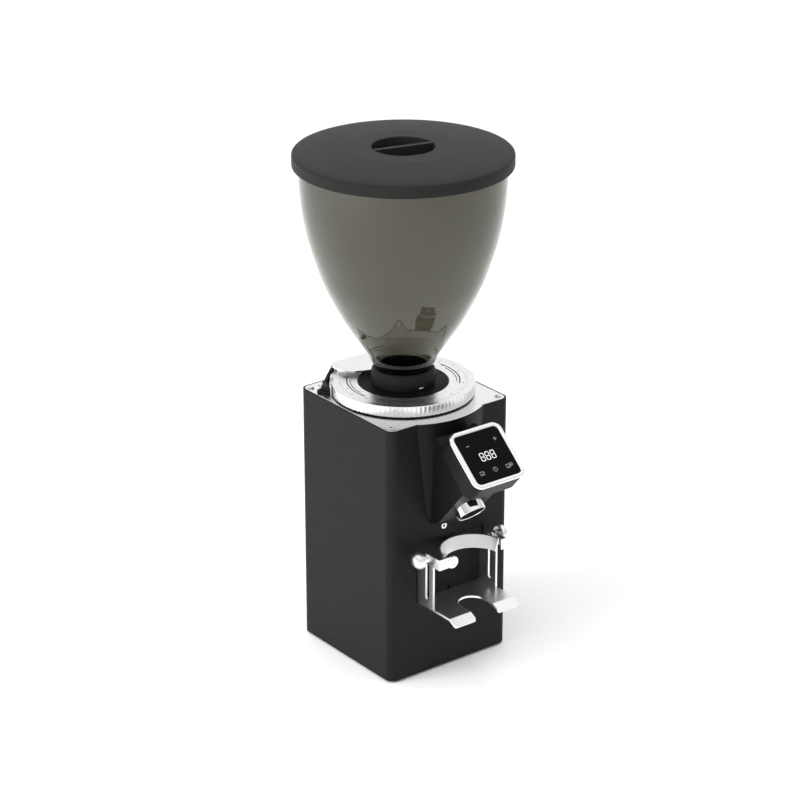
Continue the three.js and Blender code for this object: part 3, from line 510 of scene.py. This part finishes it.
# ------------------------------------------------------------------ fork
REC = -D2 + 2.1
back = REC - 0.3
SY, HZ = -102.7, 155.5
t = 2.5
sl = 15.9
r = 4.3
prof = [(back, 95.2), (-142.2, 95.2), (-142.9, 95.05), (-143.6, 94.7), (-154.3, 89.2), (-153.1, 87.0),
        (-143.0, 92.3), (-142.5, 92.6), (-141.8, 92.7), (back, 92.7)]
fork = prism("fork", prof, -46.5, 46.5, STEEL, M=MX)
ol = [(-46.5, back + 5)] + arc(-46.5 + r, -154.3 + r, r, 180, 270, 8) + \
    arc(-sl - r, -154.3 + r, r, 270, 360, 8) + arc(0, -125.5, sl, 180, 0, 32) + \
    arc(sl + r, -154.3 + r, r, 180, 270, 8) + arc(46.5 - r, -154.3 + r, r, 270, 360, 8) + [(46.5, back + 5)]
boolean(fork, prism("c", ol, 80, 100, STEEL), "INTERSECT")
for k in (-1, 1):
    x0 = -46.5 if k < 0 else 46.5 - t
    side = [(back, 92.7), (back, 147), (-97.6, 158.3)] + arc(SY, HZ, 5.4, 28, 152, 12) + \
        [(-113, 146.5), (-113, 92.7)]
    s_ = prism("c", side[::-1], x0, x0 + t, STEEL, M=MX)
    hole = arc(SY, HZ + 0.3, 3.2, 0, 180, 12) + arc(SY, 106, 3.2, 180, 360, 12)
    boolean(s_, prism("c2", hole, x0 - 1, x0 + t + 1, STEEL, M=MX))
    boolean(fork, s_, "UNION")
put(bevel(fork, 0.35, 3, 40), "case", ["fork_bracket"])

for label, k in (("left", -1), ("right", 1)):
    out = Vector((k, 0, 0))
    stud = Vector((0, SY, HZ))
    hz = 6.4
    side = [(-127.3, HZ - hz)] + arc(SY, HZ, hz, -90, 90, 16) + [(-127.3, HZ + hz)]
    x0 = -48.9 if k < 0 else 46.8
    arm = prism("hook_" + label, side, x0, x0 + 2.1, STEEL, M=MX)
    xa, xb = (-48.9, -29.8) if k < 0 else (39.9, 48.9)
    boolean(arm, prism("c", [(xa, HZ - hz), (xb, HZ - hz), (xb, HZ + hz), (xa, HZ + hz)],
                       -127.3, -125.2, STEEL, M=MY), "UNION")
    if k < 0:
        boolean(arm, lathe("c", [(0, 0.25), (3.0, 0.25), (3.3, -0.1), (3.5, -0.6), (4.0, -0.6), (4.2, 0),
                             (6.7, 0), (7.05, 0.2), (7.2, 0.6), (7.2, 3.6), (0, 3.6)], STEEL,
                       (k * 29.8, -128.2, HZ - 0.9), (0, 1, 0), 48), "UNION")
    boolean(arm, lathe("c", [(0, 48.4), (5.3, 48.4), (5.3, 52.2), (4.9, 53.2), (4.3, 55), (0, 55)], STEEL,
                       stud, out, 40), "UNION")
    boolean(arm, lathe("c", [(0, 40), (3.2, 40), (3.2, 60), (0, 60)], STEEL, stud, out, 32))
    put(bevel(arm, 0.45, 3, 40), "hook_" + label, ["hook_arm_" + label])
    kn = lathe("knob_" + label, [(3.2, 55.3), (4.6, 55.3), (5, 55.7), (5, 59.6), (8.0, 59.4), (8.6, 56.5),
                                 (9.0, 56.1), (9.6, 56.1), (10, 56.8), (10, 59.0), (9.7, 60.6), (9.0, 62.3),
                                 (7.8, 63.8), (6.0, 65.0), (3.6, 65.6), (0, 65.8), (0, 61.3), (3.2, 61.3)],
               STEEL, stud, out, 64)
    put(kn, "knob_" + label, ["hook_knob_" + label])

# push band: conical arc strip
o = lathe("band", [(32.75, 148.5), (33.1, 148.3), (34.4, 148.3), (34.75, 148.6), (39.5, 162.9), (39.2, 163.2),
                   (37.9, 163.2), (37.5, 162.9)], STEEL, (0, -128.2, 0), seg=96,
          a0=math.radians(5), a1=math.radians(170))
put(bevel(o, 0.25, 2, 50), "push_switch", ["push_band"])

# ------------------------------------------------------------------ dial
TEETH = 90


def knurl(i, r_, z_):
    if r_ < 80:
        return r_
    return r_ - (0.0, 0.0, 0.0, 0.4)[i % 4]


o = lathe("dial", [(50.6, 312.3), (80.6, 312.3), (81.5, 313.2), (81.5, 324.5), (80.9, 325.1),
                   (78.8, 325.3), (78.4, 325.15), (74.0, 325.1), (58.2, 324.35), (57.9, 324.15), (56.9, 324.1), (56.6, 324.27),
                   (52.3, 324.1), (51.8, 323.8), (51.8, 315.4), (50.6, 315.4)],
          TURNED, seg=TEETH * 4, radius=knurl, angle=28)
put(o, "dial", ["adjustment_dial"])


def dial_top(r_):
    return 325.1 - (74.0 - r_) * (0.75 / 15.8) if r_ < 74 else 325.12


def marks(name, arcs, mat, h=0.1):
    """Thin curved strips on the dial top: (r_in, r_out, a0, a1) in degrees."""
    verts, faces = [], []
    for ri, ro, d0, d1 in arcs:
        n = max(1, int(abs(d1 - d0) / 3))
        b = len(verts)
        for i in range(n + 1):
            a = math.radians(d0 + (d1 - d0) * i / n)
            for rr_ in (ri, ro):
                for dz in (-0.05, h):
                    verts.append((rr_ * math.cos(a), AY + rr_ * math.sin(a), dial_top(rr_) + dz))
        for i in range(n):
            q = b + i * 4
            w_ = q + 4
            faces += [[q + 1, q + 3, w_ + 3, w_ + 1], [q, w_, w_ + 2, q + 2],
                      [q, q + 1, w_ + 1, w_], [q + 2, w_ + 2, w_ + 3, q + 3]]
        faces += [[b, b + 2, b + 3, b + 1], [b + n * 4, b + n * 4 + 1, b + n * 4 + 3, b + n * 4 + 2]]
    o_ = make(name, verts, faces, mat)
    return put(o_, "dial", ())


tick = []
for i in range(72):
    a = i * 5
    big = i % 6 == 0
    w_ = 0.32 if big else 0.18
    tick.append((70.4 if big else 71.4, 73.2, a - w_, a + w_))
marks("dial_ticks", tick, GREYINK)
# two scale arcs, broken into dashes at their ends, with arrow-like steps
arcs = []
for base in (128, -52):
    arcs += [(63.3, 64.7, base + 6, base + 58), (59.9, 60.8, base + 12, base + 52)]
    arcs += [(62.8, 65.2, base + 58, base + 60.5), (63.3, 64.7, base + 60.5, base + 62.5)]
for base in (206, 26):
    for i in range(8):
        arcs.append((66.5, 67.7, base + i * 6.2, base + i * 6.2 + 3.4))
marks("dial_scale", arcs, INK)
num = []
for i in range(12):
    a = i * 30 + 15
    num.append((66.8, 69.2, a - 0.5, a + 0.5))
marks("dial_numbers", num, GREYINK)

# painted shade: a black ring fills the gap between top plate and dial, standing in for the shadow under the dial rim
o = lathe("dial_gap_shade_ring", [(70, 310.9), (78.4, 310.9), (78.6, 311.2), (78.6, 311.8), (78.4, 312.0), (70, 312.0)],
          RUBBER_AND_GAP_SHADE, seg=128)
put(o, "case", ["dial_seal"])

o = lathe("carrier", [(30.9, 326.2), (29, 323.6), (29, 280), (27, 274), (19, 266.5), (40, 266.5), (44.1, 270),
                      (44.1, 315.9), (50.8, 315.9), (51, 316.2), (51, 323.1), (50.5, 323.5), (50, 323.6),
                      (33.2, 323.6), (33.2, 326.2)], DARK, seg=128)
put(o, "carrier", ["burr_carrier"])

o = lathe("collar", [(31.2, 326.6), (33.6, 326.6), (33.6, 323.9), (34.8, 323.9), (35.4, 324.3), (36.1, 326.3),
                     (36.6, 328.8), (36.9, 331.4), (36.9, 333.6), (36.6, 336.2), (36.0, 338.6), (35.1, 340.8),
                     (34.1, 342.1), (33.4, 342.5), (31.6, 342.5), (31.2, 342.1)], RUBBER_AND_GAP_SHADE, seg=128)
put(o, "carrier", ["hopper_collar"])

# marker on the collar
mk = lathe("collar_mark", [(36.7, 326.2), (36.98, 326.4), (37.0, 327.6), (36.7, 327.9)], WHITE, seg=6,
           a0=math.radians(-98.5), a1=math.radians(-90.5))
put(mk, "carrier", ())

# ------------------------------------------------------------------ bridge plate and posts
rb = 14
acy, acr = 105.6, 70.6
a_s = math.degrees(math.atan2(53 - acy, 47))
poly = arc(47 - rb, 83 - rb, rb, 0, 90, 12) + arc(-47 + rb, 83 - rb, rb, 90, 180, 12) + \
    [(-47, 53)] + arc(0, acy, acr, -180 - a_s, a_s, 40)[0:] + [(47, 53.01)]
o = prism("bridge", poly, 328.4, 330.5, PLATE)
boolean(o, lathe("c", [(0, 320), (37.4, 320), (37.4, 340), (0, 340)], PLATE, seg=96))
put(bevel(o, 0.4, 3), "case", ["bridge_plate"])
for label, k in (("left", -1), ("right", 1)):
    o = lathe("post_" + label, [(0, 310.9), (4.6, 310.9), (4.6, 312.6), (3.5, 313.2), (3.5, 326.0),
                                (4.2, 326.6), (4.2, 328.1), (0, 328.1)], BRUSHED, (k * 41.5, 77.5, 0), seg=40)
    put(bevel(o, 0.2), "case", ["bridge_post_" + label])

# dial stop bracket: smooth base, block and curved index arm
b = prism("stop_bracket", [(-80.5, 56), (-72, 42.8), (-64.4, 53.7), (-60.8, 61), (-66, 69), (-74, 66)][::-1],
          310.9, 313.6, CASE)
boolean(b, prism("c", [(-75, 53), (-71.8, 45.4), (-64.6, 54.6), (-61.4, 61), (-66.5, 66)][::-1], 313, 319.5,
                 CASE), "UNION")
boolean(b, prism("c", [(-67, 314), (-60.6, 314), (-60.2, 318), (-59.6, 322), (-58.7, 326.4), (-56.4, 328.2),
                       (-53.6, 329.6), (-54.2, 333.6), (-56.8, 331.4), (-58.6, 328.8), (-61.6, 324.8),
                       (-63.8, 321)], 60.4, 65, CASE, M=MY), "UNION")
boolean(b, lathe("c", [(0, 300), (2.2, 300), (2.2, 316), (0, 316)], CASE, (-75.3, 60.2, 0), seg=24))
put(bevel(b, 0.6, 3, 30), "case", ["dial_stop_bracket"])


def flutes(i, r_, z_):
    return r_ - (0.35 if i % 4 > 1 and r_ > 3.5 else 0)


o = lathe("stop_screw_head", [(0, 311.2), (1.9, 311.2), (1.9, 313.9), (3.7, 313.9), (4, 314.3), (4, 317), (3.6, 317.6),
                              (3.0, 317.8), (1.8, 317.8), (1.7, 316.4), (0, 316.4)], CHROME,
          (-75.3, 60.2, 0), seg=64, radius=flutes)
put(o, "stop_screw", ["dial_stop_screw"])


# ------------------------------------------------------------------ hopper
def smooth_curve(pts_, n=6):
    """Catmull-Rom through profile points."""
    out = []
    for i in range(len(pts_) - 1):
        p0 = Vector(pts_[max(0, i - 1)]); p1 = Vector(pts_[i]); p2 = Vector(pts_[i + 1])
        p3 = Vector(pts_[min(len(pts_) - 1, i + 2)])
        for k in range(n):
            u = k / n
            out.append(0.5 * ((2 * p1) + (-p0 + p2) * u + (2 * p0 - 5 * p1 + 4 * p2 - p3) * u * u +
                              (-p0 + 3 * p1 - 3 * p2 + p3) * u ** 3))
    out.append(Vector(pts_[-1]))
    return [tuple(v) for v in out]


outer = smooth_curve([(33.0, 344.6), (36.7, 350.5), (40.0, 359), (51.5, 376), (67.8, 401.5), (81.3, 427),
                      (89.2, 444), (95.5, 461), (105.8, 495), (112.2, 529), (115.0, 563), (115.2, 590.9)], 5)
inner = []
for i in range(len(outer)):
    a_ = Vector(outer[max(0, i - 1)]); c_ = Vector(outer[min(len(outer) - 1, i + 1)])
    d_ = (c_ - a_).normalized()
    p_ = Vector(outer[i]) + Vector((-d_.y, d_.x)) * 2.2
    inner.append((p_.x, min(p_.y, 590.9)))
prof = [(30.6, 327.2), (30.6, 342.8), (31.4, 343.7)] + outer + [(114.9, 591.3), (113.2, 591.3)] + \
    inner[::-1][1:-1] + [(29.6, 343.5), (28.4, 341.5), (28.4, 327.2)]
o = lathe("bean_hopper", prof, SMOKE, seg=160, angle=50)
put(o, "hopper_body", ["hopper"])

# lid: crowned top, rounded rim, sunken grip with a bar
lid = lathe("lid", [(0, 589.5), (33.9, 589.5), (34.5, 590.1), (34.9, 599.2), (35.4, 600.0), (36.2, 600.3), (59, 600.1),
                    (59.6, 600.0), (80, 598.8), (102, 596.9), (114, 595.4), (119.0, 594.5), (121.2, 593.7),
                    (122.2, 592.7), (122.6, 591.4), (122.6, 581.2), (122.3, 580.2), (121.6, 579.7),
                    (118.6, 579.7), (116.6, 581.2), (116.4, 591.8), (38, 594.6), (38, 587), (0, 587)],
            LID, seg=192, angle=24)
bar = prism("c", rrect(34.9, 2.8, 0.4, n=4), 588.1, 600.3, LID,
            M=Matrix.Translation((0, AY, 0)) @ Matrix.Rotation(math.radians(-13.7), 4, "Z"))
boolean(lid, bar, "UNION")
finish_mesh(lid.data, LID, 24)
lid.modifiers.new("wn", "WEIGHTED_NORMAL").keep_sharp = True
put(lid, "lid", ["hopper_lid"])

# ------------------------------------------------------------------ stage, light, camera
bm = bmesh.new()
S, R_ = 6.0, 1.2
rows = [(-5.0, 0.0)] + [(2.4 + R_ * math.sin(math.radians(a)), R_ * (1 - math.cos(math.radians(a))))
                       for a in range(0, 91, 10)] + [(2.4 + R_, 5.0)]
vs = [[bm.verts.new((x, y, z - 0.0005)) for x in (-S, S)] for y, z in rows]
for i in range(len(rows) - 1):
    bm.faces.new([vs[i][0], vs[i][1], vs[i + 1][1], vs[i + 1][0]])
me = bpy.data.meshes.new("studio_floor")
bm.to_mesh(me)
bm.free()
for p in me.polygons:
    p.use_smooth = True
floor = bpy.data.objects.new("studio_floor", me)
FLOOR = material("floor_pale", (0.95, 0.95, 0.95), 0.85, vary=0.003, scale=30)
me.materials.append(FLOOR)
bpy.context.scene.collection.objects.link(floor)
floor.rotation_euler = (0, 0, math.radians(-37.6 + 0))

w = bpy.data.worlds.new("studio")
bpy.context.scene.world = w
w.use_nodes = True
w.node_tree.nodes["Background"].inputs["Color"].default_value = (1, 1, 1, 1)
wt = w.node_tree
tcw = wt.nodes.new("ShaderNodeTexCoord")
sep = wt.nodes.new("ShaderNodeSeparateXYZ")
mr = wt.nodes.new("ShaderNodeMapRange")
mr.inputs["From Min"].default_value = 0.25
mr.inputs["From Max"].default_value = 0.75
mr.inputs["To Min"].default_value = 0.6
mr.inputs["To Max"].default_value = 1.05
wt.links.new(tcw.outputs["Generated"], sep.inputs["Vector"])
wt.links.new(sep.outputs["Z"], mr.inputs["Value"])
wt.links.new(mr.outputs["Result"], wt.nodes["Background"].inputs["Strength"])


def area(name, loc, target, size, power, size_y=None):
    l = bpy.data.lights.new(name, "AREA")
    l.energy = power
    l.size = size
    if size_y:
        l.shape = "RECTANGLE"
        l.size_y = size_y
    ob = bpy.data.objects.new(name, l)
    bpy.context.scene.collection.objects.link(ob)
    ob.location = loc
    ob.visible_glossy = False
    ob.visible_transmission = False
    d = Vector(target) - Vector(loc)
    ob.rotation_euler = d.to_track_quat("-Z", "Y").to_euler()
    return ob


mid = P(0, 0, 300)
area("key_left", (-2.6, 0.3, 1.5), mid, 1.8, 66, 1.8)
area("top_soft", (0.1, 0.2, 2.8), mid, 2.0, 22)

cam = bpy.data.cameras.new("cam")
co = bpy.data.objects.new("cam", cam)
bpy.context.scene.collection.objects.link(co)
cam.sensor_width = 36
cam.lens = 122.148
cam.shift_x = -0.00527
cam.shift_y = 0.00401
cam.clip_end = 60
az, pitch = math.radians(-37.6122), math.radians(22.7292)
back_ = Vector((math.sin(az) * math.cos(pitch), -math.cos(az) * math.cos(pitch), math.sin(pitch)))
co.location = Vector((-1.7314, -2.2472 + OFF / 1000, 1.4850))
co.rotation_euler = back_.to_track_quat("Z", "Y").to_euler()
bpy.context.scene.camera = co
bpy.context.scene.view_settings.view_transform = "Standard"
